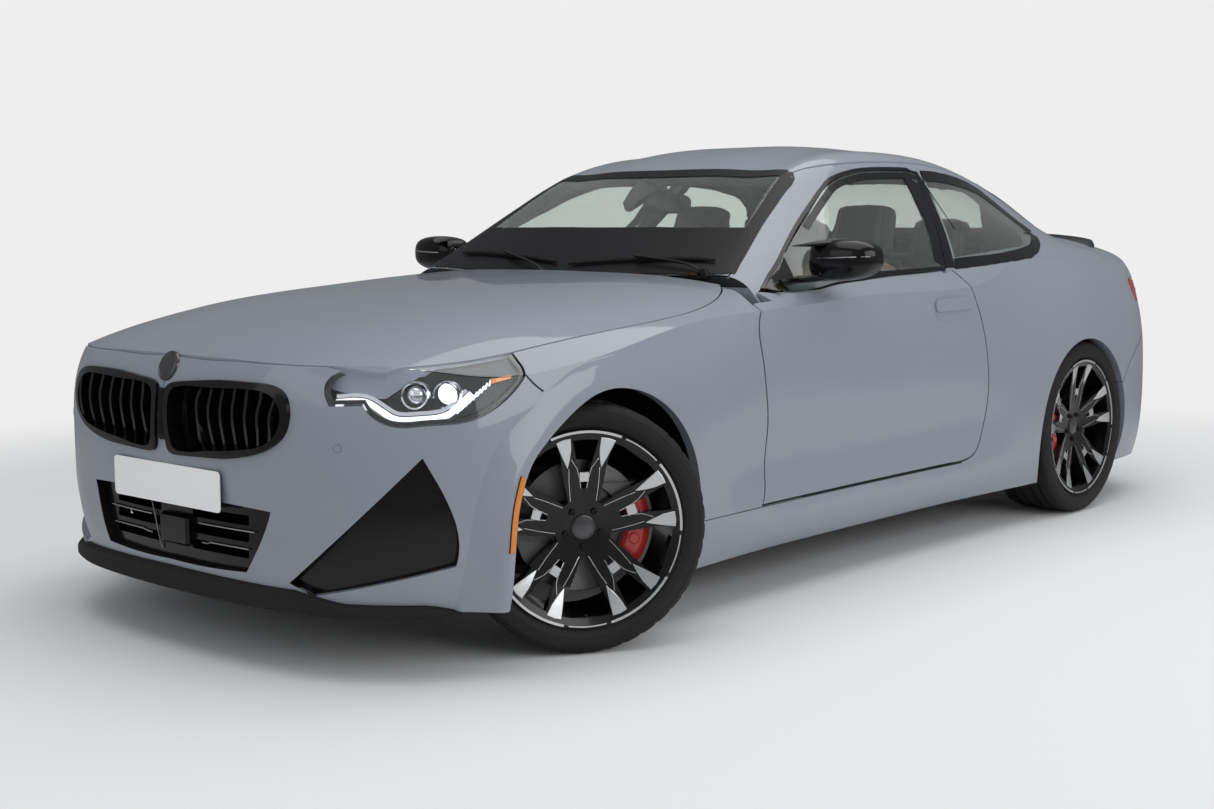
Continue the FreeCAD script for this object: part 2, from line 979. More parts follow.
# cutting prisms of the seams
hood_cut = plan_prism(hood_spots, half_gap, belt_low)
lid_cut = plan_prism(lid_spots, half_gap, tail_panel_height)
lamp_cut = corner_prism(lamp_spots, half_gap, front_axle_x, 1, -corner_reach, corner_reach)
vent_cut = corner_prism(vent_spots, 0, front_axle_x, 1, -corner_reach, corner_reach)
tail_cut = corner_prism(tail_spots, half_gap, rear_axle_x, -1, -corner_reach, corner_reach)
door_cut = side_prism(door_spots, door_gap / 2)
bumper_cut = side_prism(bumper_spots, half_gap)
rear_bumper_cut = side_prism(rear_bumper_spots, half_gap)
side_glass_cut = side_prism(side_glass_spots, glass_gap / 2)
quarter_cut = side_prism(quarter_spots, glass_gap / 2)
windscreen_cut = plan_prism(windscreen_spots, half_gap, belt_low)
roof_cut = plan_prism(roof_spots, half_gap, belt_height)
back_cut = plan_prism(back_spots, half_gap, belt_low)

# hood and boot lid with their hinge arms
hood = largest(thin_skin.common(plan_prism(hood_spots, -half_gap, belt_low)))
hood_x = front_axle_x + hood_hinge_x
hood_arm = box((front_axle_x + hinge_arm_front, -hood_hinge_y - lid_arm_half,
                hood_hinge_z - hinge_knuckle),
               (hood_x, -hood_hinge_y + lid_arm_half, hood_hinge_z + hinge_pin_radius))
hood_knuckle = across_tube(hood_x, -hood_hinge_y - lid_arm_half, -hood_hinge_y + lid_arm_half,
                           hood_hinge_z,
                           hinge_knuckle)
hood_bore = across_tube(hood_x, -half_width, half_width, hood_hinge_z, hinge_pin_radius + running_gap)
hood = hood.fuse([hood_arm, hood_knuckle, mirrored(hood_arm), mirrored(hood_knuckle)]).cut(hood_bore)
lid = thin_skin.common(plan_prism(lid_spots, -half_gap, tail_panel_height + shut_gap))
hem = plan_prism(lid_spots, half_gap, belt_low).cut(plan_prism(lid_spots, -half_gap - hem_width,
                                                               belt_low))
lid = largest(lid.cut(house).cut(hem.common(lower_hull(hem_depth))))


def bar(start, stop, y, half, width):
    """Flat bar between two points of the side view, with round ends."""
    run = FreeCAD.Vector(stop[0] - start[0], 0, stop[1] - start[1])
    strip = box((0, -half, -width / 2), (run.Length, half, width / 2))
    strip = strip.fuse([across_tube(place, -half, half, 0, width / 2) for place in (0, run.Length)])
    strip.rotate(point(0, 0, 0), RIGHT, -math.degrees(math.atan2(run.z, run.x)))
    strip.translate(point(start[0], y, start[1]))
    return strip


lid_x = front_axle_x + lid_hinge_x
lid_stops = [(lid_x, lid_hinge_z), (front_axle_x + lid_elbow_x, lid_elbow_z),
             (front_axle_x + lid_knee_x, lid_knee_z), (front_axle_x + lid_end_x, lid_end_z)]
lid_bars = [bar(a, b, -lid_hinge_y, lid_arm_half, lid_arm_width) for a,
            b in zip(lid_stops, lid_stops[1:])]
lid_arm = lid_bars[0].fuse(lid_bars[1:]).common(outer)
lid_bore = across_tube(lid_x, -half_width, half_width, lid_hinge_z, hinge_pin_radius + running_gap)
lid = lid.fuse([lid_arm, mirrored(lid_arm)]).cut(lid_bore)

# front fender
fender = thin_skin.common(left_half(hull_front, front_axle_x + fender_rear, sill_top + half_gap))
fender = fender.common(left_half(y_high=-fender_inside))
for cutter in (hood_cut, lamp_cut, door_cut, bumper_cut, left_wells, house):
    fender = fender.cut(cutter)
hood_path = plan_prism(hood_spots, half_gap, belt_low)
hood_path.translate(REAR * hood_swing)
hood_path = hood_path.common(whole_width(hood_x - hood_swing, hull_rear, belt_low, body_height))
door_path = side_prism(door_spots, door_gap / 2 + door_step).common(side_volume(door_lip))
fender_left = largest(fender.cut(hood_path).cut(door_path))

# front bumper skin with its openings
bumper = outer.cut(lower_hull(bumper_depth)).common(twin(side_prism(bumper_spots, -half_gap)))
kidney_hole = twin(front_prism(kidney_spots, seat_gap, hull_front, -hull_front + front_axle_x))
intake_hole = twin(front_prism(intake_spots, seat_gap, hull_front, -hull_front + front_axle_x))
lamp_seam = lamp_cut.cut(lower_hull(lamp_seam_depth))
lamp_seat = corner_prism(lamp_spots, seat_gap - half_gap, front_axle_x, 1, -corner_reach, corner_reach)
for cutter in (hood_cut, twin(lamp_seam), twin(lamp_seat), twin(vent_cut), kidney_hole, intake_hole,
               wells):
    bumper = bumper.cut(cutter)
front_bumper = largest(bumper)

# rear bumper skin
bumper = outer.cut(lower_hull(bumper_depth)).common(twin(side_prism(rear_bumper_spots, -half_gap)))
diffuser_spots = both_front(seen_from_front(diffuser_shares))
diffuser_hole = front_prism(diffuser_spots, seat_gap, rear_axle_x, overrun)
pipe_hole = Part.makeCylinder(exhaust_radius + hood_clearance, overrun,
                              point(rear_axle_x, -exhaust_y * pipe_share, exhaust_level), REAR)
for cutter in (lid_cut, twin(tail_cut), wells, diffuser_hole, twin(pipe_hole)):
    bumper = bumper.cut(cutter)
rear_bumper = largest(bumper)

# windows
windscreen = largest(glass_skin.common(plan_prism(windscreen_spots, -half_gap, belt_low)))
hull_lid = top_volume(-seat_gap)
back_window = largest(glass_skin.common(plan_prism(back_spots, -half_gap, belt_low)).cut(hull_lid))
side_glass = largest(glass_skin.common(side_prism(side_glass_spots, -glass_gap / 2)).cut(hull_lid))
quarter_glass = largest(glass_skin.common(side_prism(quarter_spots, -glass_gap / 2)).cut(hull_lid))
roof = largest(house.cut(greenhouse(roof_depth)).common(plan_prism(roof_spots, -half_gap, belt_height)))

# sills, posts beside the door, and the body side with pillars and quarter
sill = outer.cut(side_volume(sill_inside)).common(left_half(front_axle_x, rear_axle_x, 0, sill_top))
sill_left = largest(sill.cut(left_wells))
post_zone = side_volume(post_skin).cut(side_volume(post_depth)).common(lower_hull(post_skin))
door_front = along(door_shares[0][0])
hinge_x = front_axle_x + door_hinge_x
hinge_post = post_zone.common(left_half(front_axle_x + post_front, door_front, sill_top, belt_frame))
hinge_post = hinge_post.cut(door_cut)
hinge_post = hinge_post.cut(Part.makeCylinder(door_swing_radius, overrun,
                                              point(hinge_x, -door_hinge_y, 0)))
lock_zone = side_volume(door_depth + lock_clearance).cut(side_volume(post_depth + lock_clearance))
lock_low = front_axle_x + lock_post_front
lock_high = front_axle_x + lock_post_rear
lock_post = lock_zone.common(left_half(lock_low, lock_high, sill_top, belt_frame - seat_gap))
lock_foot = box((lock_low, -post_foot_outside, floor_low + wall),
                (lock_high, -post_foot_inside, post_foot_top))
quarter_zone = left_half(lock_low, hull_rear, sill_top)
quarter = outer.cut(lower_hull(quarter_depth)).common(quarter_zone).cut(greenhouse(pillar_depth))
tail_seam = tail_cut.cut(lower_hull(lamp_seam_depth))
tail_seat = corner_prism(tail_spots, seat_gap - half_gap, rear_axle_x, -1, -corner_reach, corner_reach)
lid_pocket = box((front_axle_x + pocket_front, -lid_hinge_y - pocket_half, belt_low),
                 (front_axle_x + pocket_rear, -lid_hinge_y + pocket_half, pocket_top))
for cutter in (door_cut, rear_bumper_cut, lid_cut, tail_seam, tail_seat, left_wells, back_cut):
    quarter = quarter.cut(cutter)
frame_zone = left_half(front_axle_x + foot_front, hull_rear, pillar_foot_low)
frame_zone = frame_zone.cut(left_half(front_axle_x + pillar_foot_rear, hull_rear, 0, belt_frame))
frame = house_wall.common(frame_zone)
over_glass = house.cut(greenhouse(glass_depth + seat_gap))
over_roof = house.cut(greenhouse(roof_depth + seat_gap))
windscreen_inner = plan_prism(windscreen_spots, -frame_ledge, belt_low)
roof_inner = plan_prism(roof_spots, -frame_ledge, belt_height)
back_inner = plan_prism(back_spots, -frame_ledge, belt_low)
quarter_inner = side_prism(quarter_spots, -frame_ledge)
for cutter in (windscreen_cut.common(over_glass), windscreen_inner, roof_cut.common(over_roof),
               roof_inner,
               back_cut.common(over_glass), back_inner, quarter_cut.common(over_glass), quarter_inner,
               side_glass_cut, lid_cut):
    frame = frame.cut(cutter)
front_skin = lower_hull(-1 * seat_gap).cut(lower_hull(panel_depth + seat_gap))
frame = frame.cut(front_skin.common(left_half(hull_front, door_front)))
body_side_left = largest(quarter.fuse(frame).cut(lid_pocket))

# door, cut free of the posts and arms that it swings past
door = outer.cut(side_volume(door_depth)).common(side_prism(door_spots, -door_gap / 2))
foot_wall = greenhouse(-door_gap).cut(greenhouse(pillar_depth + door_gap))
foot_end = front_axle_x + pillar_foot_rear + door_gap
foot_zone = left_half(hull_front, foot_end, pillar_foot_low - door_gap)
lock_top = left_half(lock_low - wall, hull_rear, belt_frame - door_gap)
door = door.cut(foot_wall.common(foot_zone)).cut(foot_wall.common(lock_top)).cut(house_wall)
door = door.cut(side_volume(door_front_depth).common(left_half(hull_front,
                                                               front_axle_x + door_front_rear)))
door = door.cut(box((hull_front, -foot_seat_outside - door_gap, dash_beam_low - door_gap),
                    (foot_end, 0, pillar_foot_low + door_gap)))
for height in (door_hinge_low, door_hinge_high):
    room = box((hull_front, -door_hinge_y - hinge_eye - hinge_skin_room,
                height - hinge_arm_half - hinge_room),
               (hinge_x + hinge_eye + hinge_room, 0, height + hinge_arm_half + hinge_room))
    bore = Part.makeCylinder(door_pin_radius + running_gap, (door_pin_half + hinge_room) * 2,
                             point(hinge_x, -door_hinge_y, height - door_pin_half - hinge_room))
    door = door.cut(room).cut(bore)
door_left = largest(door)


# grilles: two framed grilles with wavy upright slats
def kidney_grille():
    proud = lower_hull(-1 * kidney_proud).cut(lower_hull(kidney_depth))
    run = front_axle_x - hull_front
    rim = front_prism(kidney_spots, 0, hull_front,
                      run).cut(front_prism(kidney_spots, -kidney_rim, hull_front, run))
    pieces = [proud.common(rim)]
    low_y = min(spot[0] for spot in kidney_spots)
    high_y = max(spot[0] for spot in kidney_spots)
    low_z = min(spot[1] for spot in kidney_spots)
    high_z = max(spot[1] for spot in kidney_spots)
    window = front_prism(kidney_spots, -kidney_rim / 2, hull_front, run)
    pitch = (high_y - low_y) / (slat_count + 1)
    front = front_axle_x + kidney_face
    for k in range(slat_count):
        y = low_y + pitch * (k + 1) - slat_width / 2
        face = []
        for share, lean in slat_wave_shares:
            face.append(point(front + slat_wave * lean, y, low_z + (high_z - low_z) * share))
        curve = Part.BSplineCurve()
        curve.interpolate(Points=face)
        back = [point(face[-1].x + slat_depth, y, face[-1].z),
                point(face[0].x + slat_depth, y, face[0].z)]
        edges = [curve.toShape(), Part.makeLine(face[-1], back[0]), Part.makeLine(back[0], back[1]),
                 Part.makeLine(back[1], face[0])]
        slat = Part.Face(Part.Wire(edges)).extrude(RIGHT * slat_width)
        pieces.append(slat.common(window))
    return largest(pieces[0].fuse(pieces[1:]).cut(hood_cut))


def lower_grilles():
    """Mesh panel of the lower intake and the two corner vent panels."""
    recessed = lower_hull(grille_recess).cut(lower_hull(grille_depth))
    run = front_axle_x - hull_front
    panel = recessed.common(twin(front_prism(intake_spots, 0, hull_front, run)))
    for k in range(intake_slots):
        low = level(intake_slot_low_share) + intake_slot_pitch * k
        slot = box((hull_front, across(intake_slot_end_share), low),
                   (front_axle_x, across(intake_slot_start_share), low + intake_slot_height))
        panel = panel.cut(twin(slot))
    vent = recessed.common(corner_prism(vent_spots, -1 * seat_gap, front_axle_x, 1, -corner_reach,
                                        corner_reach))
    vent = largest(vent)
    return [largest(panel), vent, mirrored(vent)]


# lamps
def lamp_housing(spots, axle_x, sign):
    reach = -1 * half_gap
    body = lower_hull(lamp_recess).cut(side_volume(lamp_depth))
    body = body.common(corner_prism(spots, reach, axle_x, sign, -corner_reach,
                                    corner_reach)).cut(hood_cut)
    bowl = outer.cut(side_volume(lamp_bowl))
    bowl = bowl.common(corner_prism(spots, reach - lamp_wall, axle_x, sign, -corner_reach, corner_reach))
    return largest(body.cut(bowl))


def lamp_lens(spots, axle_x, sign, inset=0):
    cover = lower_hull(inset).cut(lower_hull(inset + lens_depth))
    cover = cover.common(corner_prism(spots, -half_gap, axle_x, sign, -corner_reach, corner_reach))
    return largest(cover.cut(hood_cut))


def tail_lamp():
    """Closed lamp body at the left rear corner."""
    body = outer.cut(side_volume(tail_lamp_depth))
    body = body.common(corner_prism(tail_spots, -half_gap, rear_axle_x, -1, -corner_reach, corner_reach))
    return largest(body.cut(lid_cut).cut(rear_bumper_cut))


# wheels, built about their own centre with the outer face towards -Y
def turned(profile):
    """Solid of revolution about the Y axis from (radius, y) points."""
    spots = [point(radius, y, 0) for radius, y in profile]
    return Part.Face(Part.makePolygon(spots + [spots[0]])).revolve(point(0, 0, 0), RIGHT, 360)


def tyre(width):
    half = width / 2
    side = [(bead_seat + seat_gap, bead_half), (tyre_radius - shoulder_height, half),
            (tyre_radius, half - shoulder_width)]
    return turned(side + [(radius, -y) for radius, y in reversed(side)])


def polar(radius, degrees, y):
    turn = math.radians(degrees)
    return point(radius * math.cos(turn), y, radius * math.sin(turn))


def wheel_window(middle, rows):
    """Prism cut between two spokes; rows give share of the rim radius and half angle."""
    ring = [polar(share * lip_radius, middle + angle, -rim_half) for share, angle in rows]
    ring += [polar(share * lip_radius, middle - angle, -rim_half) for share, angle in reversed(rows)]
    return Part.Face(Part.makePolygon(ring + [ring[0]])).extrude(RIGHT * rim_half * 2)


def wheel():
    barrel = turned([(lip_radius, -rim_half), (bead_seat, -rim_half + flange),
                     (bead_seat, rim_half - flange),
                     (lip_radius, rim_half), (barrel_radius + flange, rim_half), (barrel_radius,
                                                                                  rim_half - flange * 2),
                     (barrel_radius, -rim_half + flange), (lip_radius - flange, -rim_half)])
    disc = turned([(hub_radius, hub_face), (hub_radius, cap_face), (cap_radius, cap_face),
                   (spoke_knee, knee_face), (barrel_radius + flange, spoke_face),
                   (barrel_radius + flange, spoke_face + spoke_depth), (spoke_knee,
                                                                        knee_face + spoke_depth),
                   (cap_radius * hub_rise_share, hub_face)])
    for k in range(spoke_pairs):
        middle = 90 + 360 / spoke_pairs * k
        disc = disc.cut(wheel_window(middle + 180 / spoke_pairs, wide_window_shares))
        disc = disc.cut(wheel_window(middle, slim_window_shares))
    centre = across_tube(0, cap_face, hub_face, 0, cap_radius)
    shape = barrel.fuse([disc, centre])
    rotor = turned([(rotor_hat, hub_face), (rotor_hat, rotor_front), (rotor_radius, rotor_front),
                    (rotor_radius, rotor_back), (rotor_hat - flange, rotor_back), (rotor_hat - flange,
                                                                                   hub_face + flange),
                    (spindle_radius + flange, hub_face + flange), (spindle_radius + flange, hub_face)])
    shape = shape.fuse(rotor)
    bore = across_tube(0, cap_face + shut_gap, rotor_back, 0, spindle_radius + running_gap)
    return largest(shape.cut(bore))


def caliper(side):
    """Red clamp over the rotor, on one side of the hub."""
    ring = turned([(rotor_radius - pad_height, rotor_front - pad_depth),
                   (rotor_radius + bridge, rotor_front - pad_depth),
                   (rotor_radius + bridge, rotor_back + pad_depth), (rotor_radius - pad_height,
                                                                     rotor_back + pad_depth)])
    slot = turned([(spindle_radius, rotor_front - rotor_room),
                   (rotor_radius + rotor_room, rotor_front - rotor_room),
                   (rotor_radius + rotor_room, rotor_back + rotor_room), (spindle_radius,
                                                                          rotor_back + rotor_room)])
    block = box((min(0, side * tyre_radius), -rim_half, -caliper_half),
                (max(0, side * tyre_radius), rim_half, caliper_half))
    return largest(ring.cut(slot).common(block))


def upright(side):
    """Wheel carrier: spindle, plate, pin posts and caliper."""
    spindle = Part.makeCylinder(spindle_radius, spindle_length, point(0, hub_face - flange, 0), RIGHT)
    plate = Part.makeCylinder(plate_radius, plate_depth, point(0, plate_face, 0), RIGHT)
    post = Part.makeCylinder(pin_radius, pin_reach * 2, point(0, 0, -pin_reach), UP)
    body = box((-post_half, plate_face, -pin_reach + arm_depth + flange),
               (post_half, post_half, pin_reach - arm_depth - flange))
    clamp = caliper(side)
    bracket = box((min(0, side * rotor_radius), plate_face, -caliper_half / 2),
                  (max(0, side * rotor_radius), plate_face + plate_depth, caliper_half / 2))
    return largest(spindle.fuse([plate, post, body, clamp, bracket]))


# wheels, carriers and brakes are placed about the wheel centre
def placed(shape, x, y, turn=0):
    moved = shape.copy()
    if turn:
        moved.rotate(point(0, 0, 0), UP, turn)
    moved.translate(point(x, y, tyre_radius))
    return moved


def save_corners(name, shape, x, y, label, turn):
    """The piece on the left and its mirror image on the right, turned alike when steered."""
    save(name + "_" + label + "_left", placed(shape, x, -y, turn))
    save(name + "_" + label + "_right", placed(mirrored(shape), x, y, turn))


# suspension arms reach from the subframe to an eye around each pin post
def arm(inner_y, height, half_base, track):
    """Wishbone on the left with an eye around the pin of the wheel carrier."""
    y = -track / 2
    spots = [point(-eye_radius, y, height), point(eye_radius, y, height),
             point(half_base, inner_y, height),
             point(-half_base, inner_y, height)]
    plate = Part.Face(Part.makePolygon(spots + [spots[0]])).extrude(UP * arm_depth)
    plate = plate.fuse(Part.makeCylinder(eye_radius, arm_depth, point(0, y, height)))
    return plate.cut(Part.makeCylinder(pin_radius + running_gap, arm_depth * 2,
                                       point(0, y, height - arm_depth / 2)))


def suspension(axle_x, beam_y, track):
    low_height = pin_low
    high_height = pin_high - arm_depth
    left = arm(-beam_y, low_height, arm_base, track).fuse(arm(-beam_y, high_height, arm_base, track))
    tower = box((-arm_base, -beam_y - arm_depth, low_height),
                (arm_base, -beam_y, high_height + arm_depth))
    left = left.fuse(tower)
    beam = box((-beam_half, -beam_y, low_height), (beam_half, beam_y, low_height + beam_depth))
    whole = left.fuse([mirrored(left), beam])
    whole.translate(point(axle_x, 0, 0))
    return whole


# the frame below the skins, in four welded sections that meet face to face
def crash_beam(low, high, x_low, x_high):
    """Curved beam close behind a bumper skin."""
    ring = side_volume(bumper_depth + seat_gap).cut(side_volume(bumper_depth + wall))
    return ring.common(box((x_low, -boot_half, low), (x_high, boot_half, high)))


def door_hinges():
    """Arms from the hinge post of the left side to the pins that the door turns on."""
    pieces = []
    for height in (door_hinge_low, door_hinge_high):
        low = height - hinge_arm_half
        high = height + hinge_arm_half
        pieces.append(box((hinge_x - hinge_eye, -door_hinge_y, low),
                          (hinge_x + hinge_eye, -hinge_root_inside, high)))
        pieces.append(box((front_axle_x + hinge_root_front, -hinge_root_outside, low),
                          (front_axle_x + cabin_front, -hinge_root_inside, high)))
        pieces.append(Part.makeCylinder(hinge_eye, high - low, point(hinge_x, -door_hinge_y, low)))
        pieces.append(Part.makeCylinder(door_pin_radius, door_pin_half * 2,
                                        point(hinge_x, -door_hinge_y, height - door_pin_half)))
    return pieces


def hood_hinge_pin():
    return across_tube(hood_x, -hood_hinge_y - hinge_pin_half, -hood_hinge_y + hinge_pin_half,
                       hood_hinge_z,
                       hinge_pin_radius)


def lid_hinge_pin():
    """Bracket on the shelf and pin for one hinge of the boot lid."""
    bracket = box((front_axle_x + lid_bracket_front, -lid_bracket_outside, shelf_height - wall / 2),
                  (lid_x + hinge_knuckle, -lid_bracket_inside, lid_hinge_z + hinge_pin_radius))
    pin = across_tube(lid_x, -lid_bracket_outside, -lid_hinge_y + lid_arm_half, lid_hinge_z,
                      hinge_pin_radius)
    return [bracket, pin]


def foot_room():
    """Space of the windscreen pillars' feet, a seat's gap wider."""
    zone = whole_width(front_axle_x + foot_front - seat_gap, hull_rear, pillar_foot_low - seat_gap,
                       body_height)
    return house.cut(greenhouse(pillar_depth + seat_gap)).common(zone)


def cowl_panel():
    """Closed trough between the hood, the windscreen and the pillar feet."""
    panel = lower_hull(cowl_recess).cut(lower_hull(cowl_depth))
    side = fender_inside - shut_gap
    panel = panel.common(box((front_axle_x + cowl_front, -side, belt_low),
                             (front_axle_x + cowl_rear, side, body_height)))
    return largest(panel.cut(plan_prism(hood_spots, hood_clearance,
                                        belt_low)).cut(over_glass).cut(foot_room()))


def hood_hinge_slots():
    return twin(box((front_axle_x + cowl_front, -hood_hinge_y - hinge_slot_half, hinge_slot_low),
                    (hood_x + hinge_slot_half * 2, -hood_hinge_y + hinge_slot_half, body_height)))


def trimmed(pieces):
    """Welded pieces cut back to the space inside the skins and clear of the wheels."""
    low_side = side_volume(sill_inside + seat_gap)
    inside = lower_hull(quarter_depth + seat_gap)
    inside = inside.common(low_side.fuse(whole_width(hull_front, hull_rear, sill_top, body_height)))
    return pieces[0].fuse(pieces[1:]).common(inside).cut(wells)


def front_rails():
    """Rails, strut towers, radiator panel and crash beam ahead of the firewall."""
    rail_rear = front_axle_x + cabin_front - wall - seat_gap
    nose_x = front_axle_x + nose_frame
    pieces = [box((nose_x - wall, -radiator_half, front_rail_low - rail_width),
                  (nose_x, radiator_half, radiator_top))]
    for side in (-1, 1):
        y = side * front_rail_y
        pieces.append(box((nose_x - wall, y - rail_width / 2, front_rail_low),
                          (rail_rear, y + rail_width / 2, front_rail_low + rail_width)))
        pieces.append(box((front_axle_x - tower_half, y - rail_width / 2, front_rail_low),
                          (front_axle_x + tower_half, y + rail_width / 2, tower_top)))
    return trimmed(pieces).fuse(crash_beam(beam_low, beam_high, hull_front, front_axle_x))


def firewall():
    """Upright wall with dash beams, hinge posts, hinges and the cowl trough."""
    wall_x = front_axle_x + cabin_front
    plate = box((wall_x - wall, -firewall_half, sill_top), (wall_x, firewall_half, belt_height))
    low_plate = box((wall_x - wall, -dash_beam_inside, floor_low), (wall_x, dash_beam_inside, sill_top))
    beam_top = pillar_foot_low - seat_gap
    beam = box((front_axle_x + post_front, -firewall_half, dash_beam_low),
               (front_axle_x + pillar_foot_rear, -dash_beam_inside, beam_top))
    seat = box((front_axle_x + foot_seat_front, -foot_seat_outside, dash_beam_low),
               (front_axle_x + pillar_foot_rear, -dash_beam_outside, beam_top))
    left = [beam, seat, hood_hinge_pin(), hinge_post] + door_hinges()
    plate = plate.common(lower_hull(cowl_depth - shut_gap)).cut(foot_room())
    plate = plate.fuse(cowl_panel()).cut(hood_hinge_slots())
    return plate.fuse([low_plate] + left + [mirrored(piece) for piece in left])


def floor_pan():
    """Floor with tunnel, and the posts behind the doors."""
    plate_y = half_width - sill_inside
    start = front_axle_x + cabin_front + seat_gap
    stop = front_axle_x + cabin_rear - seat_gap
    pieces = [
        box((start, -plate_y, floor_low), (stop, plate_y, floor_high)),
        box((start, -tunnel_half, floor_low), (stop - bench_length, tunnel_half, tunnel_top)),
    ]
    return trimmed(pieces).fuse([lock_post, lock_foot, mirrored(lock_post), mirrored(lock_foot)])


def boot_frame():
    """Rear bulkhead, parcel shelf, boot floor on its rails, and the rear crash beam."""
    start = front_axle_x + cabin_rear
    stop = front_axle_x + boot_rear
    rail_start = rear_axle_x + arm_base + wall
    pieces = [
        box((start, -boot_half, floor_low), (start + wall, boot_half, shelf_height)),
        box((start, -boot_half, boot_floor), (stop, boot_half, boot_floor + wall)),
        box((start, -boot_half, shelf_height - wall / 2),
            (front_axle_x + shelf_rear, boot_half, shelf_height)),
        box((rail_start, -boot_half, boot_floor - rail_width),
            (stop, rail_width - boot_half, boot_floor)),
        box((rail_start, boot_half - rail_width, boot_floor - rail_width), (stop, boot_half, boot_floor)),
        box((stop - wall, -boot_half, boot_floor), (stop, boot_half, boot_sill)),
    ]
    brackets = lid_hinge_pin()
    brackets += [mirrored(piece) for piece in brackets]
    return trimmed(pieces).fuse(brackets + [crash_beam(rear_beam_low, rear_beam_high, rear_axle_x,
                                                       hull_rear)])


# cabin furniture
def rounded_box(low, high, radius):
    block = box(low, high)
    return block.makeFillet(radius, block.Edges)


def seat(y):
    """Cushion, leaning back and head restraint of one front seat."""
    x = front_axle_x + seat_front
    cushion = rounded_box((x, y - seat_half, floor_high + seat_base),
                          (x + seat_length, y + seat_half, floor_high + seat_top), seat_round)
    back = rounded_box((0, y - seat_half, 0), (back_depth, y + seat_half, back_height), seat_round)
    back.rotate(point(0, 0, 0), RIGHT, back_lean)
    back.translate(point(x + seat_length - back_depth, 0, floor_high + seat_base))
    head = rounded_box((0, y - head_half, 0), (head_depth, y + head_half, head_height), seat_round / 2)
    head.rotate(point(0, 0, 0), RIGHT, back_lean)
    lean = math.radians(back_lean)
    head.translate(point(x + seat_length - back_depth + (back_height + head_gap) * math.sin(lean), 0,
                         floor_high + seat_base + (back_height + head_gap) * math.cos(lean) - head_overlap))
    foot = box((x + seat_length * foot_front_share, y - seat_half / 2, floor_high),
               (x + seat_length * foot_rear_share, y + seat_half / 2,
                floor_high + seat_base + seat_round))
    return cushion.fuse([back, head, foot])


def rear_bench():
    x = front_axle_x + cabin_rear - bench_length
    cushion = rounded_box((x, -bench_half, floor_high),
                          (x + bench_length, bench_half, floor_high + seat_top),
                          seat_round)
    back = rounded_box((0, -bench_half, 0), (back_depth, bench_half, bench_height), seat_round)
    back.translate(point(x + bench_length - back_depth - seat_round, 0, floor_high + seat_base))
    tunnel = box((x - bench_length, -tunnel_half - shut_gap, floor_low),
                 (x + bench_length, tunnel_half + shut_gap, tunnel_top + shut_gap))
    return cushion.fuse(back).cut(tunnel)


def dashboard():
    x = front_axle_x + cabin_front
    block = rounded_box((x + seat_gap, -dash_half, dash_low), (x + dash_depth, dash_half, dash_top),
                        dash_round)
    low_room = side_volume(door_depth + lock_clearance).common(whole_width(x, x + dash_depth, 0,
                                                                           belt_low + seat_round))
    return block.common(greenhouse(dash_clearance).fuse(low_room))


def leaned(shape):
    """Tilt a piece made about the steering axis and bring it to the place of the wheel."""
    moved = shape.copy()
    moved.rotate(point(0, 0, 0), RIGHT, column_lean)
    moved.translate(point(front_axle_x + steering_place, -seat_y, steering_level))
    return moved


def column_bore():
    length = column_length + wheel_grip
    return leaned(Part.makeCylinder(wheel_grip + running_gap, length, point(0, 0, -length)))


def steering_wheel():
    """Ring, hub, three spokes and column, turned as far as the front wheels ask."""
    ring = Part.makeTorus(wheel_ring, wheel_grip)
    hub = Part.makeCylinder(wheel_hub, wheel_grip * 2, point(0, 0, -wheel_grip))
    spokes = [box((-wheel_ring, -wheel_grip, -wheel_grip / 2), (wheel_ring, wheel_grip, wheel_grip / 2)),
              box((-wheel_grip, -wheel_ring, -wheel_grip / 2), (wheel_grip, 0, wheel_grip / 2))]
    column = Part.makeCylinder(wheel_grip, column_length, point(0, 0, -column_length))
    whole = ring.fuse([hub, column] + spokes)
    whole.rotate(point(0, 0, 0), UP, -steer_angle * hand_wheel_ratio)
    return leaned(whole)


def mirror_left():
    ball = Part.makeSphere(mirror_reach / 2)
    matrix = FreeCAD.Matrix()
    matrix.scale(mirror_depth / mirror_reach, 1, mirror_height / mirror_reach)
    head = ball.transformGeometry(matrix)
    head = head.cut(box((mirror_depth * mirror_face_share, -mirror_reach, -mirror_reach),
                        (mirror_reach, mirror_reach, mirror_reach)))
    head.translate(point(front_axle_x + mirror_place, -mirror_tip + mirror_reach / 2, mirror_level))
    stalk = box((front_axle_x + mirror_place - stalk_half, -stalk_end, mirror_foot),
                (front_axle_x + mirror_place + stalk_half, -mirror_root, mirror_level))
    return largest(head.fuse(stalk).cut(outer).cut(hull_lid).cut(greenhouse(-seat_gap)))


def splitter():
    """Flat lip under the bumper, as wide as the bumper's foot."""
    bottom = min(spot[1] for spot in bumper_spots)
    wire = outline_wire(splitter_spots, lambda a, b: point(a, b, splitter_low))
    return Part.Face(wire).extrude(UP * (bottom + half_gap - seat_gap - splitter_low))


def rear_diffuser():
    """Black insert below the rear bumper with three fins."""
    tail_x = body_length / 2
    low = level(diffuser_shares[0][1])
    panel = lower_hull(grille_gap).cut(lower_hull(bumper_depth)).common(front_prism(diffuser_spots, 0,
                                                                                    rear_axle_x, overrun))
    panel = panel.cut(twin(pipe_hole))
    fins = [box((tail_x - fin_length, fin_pitch * k - flange, low),
                (tail_x, fin_pitch * k + flange, low + fin_length))
            for k in (-1, 0, 1)]
    return largest(panel.fuse(fins).cut(lower_hull(bumper_depth)))


def engine():
    block = box((front_axle_x + engine_front, -engine_half, engine_low),
                (front_axle_x + engine_rear, engine_half, engine_top))
    return block.makeFillet(engine_round, block.Edges)


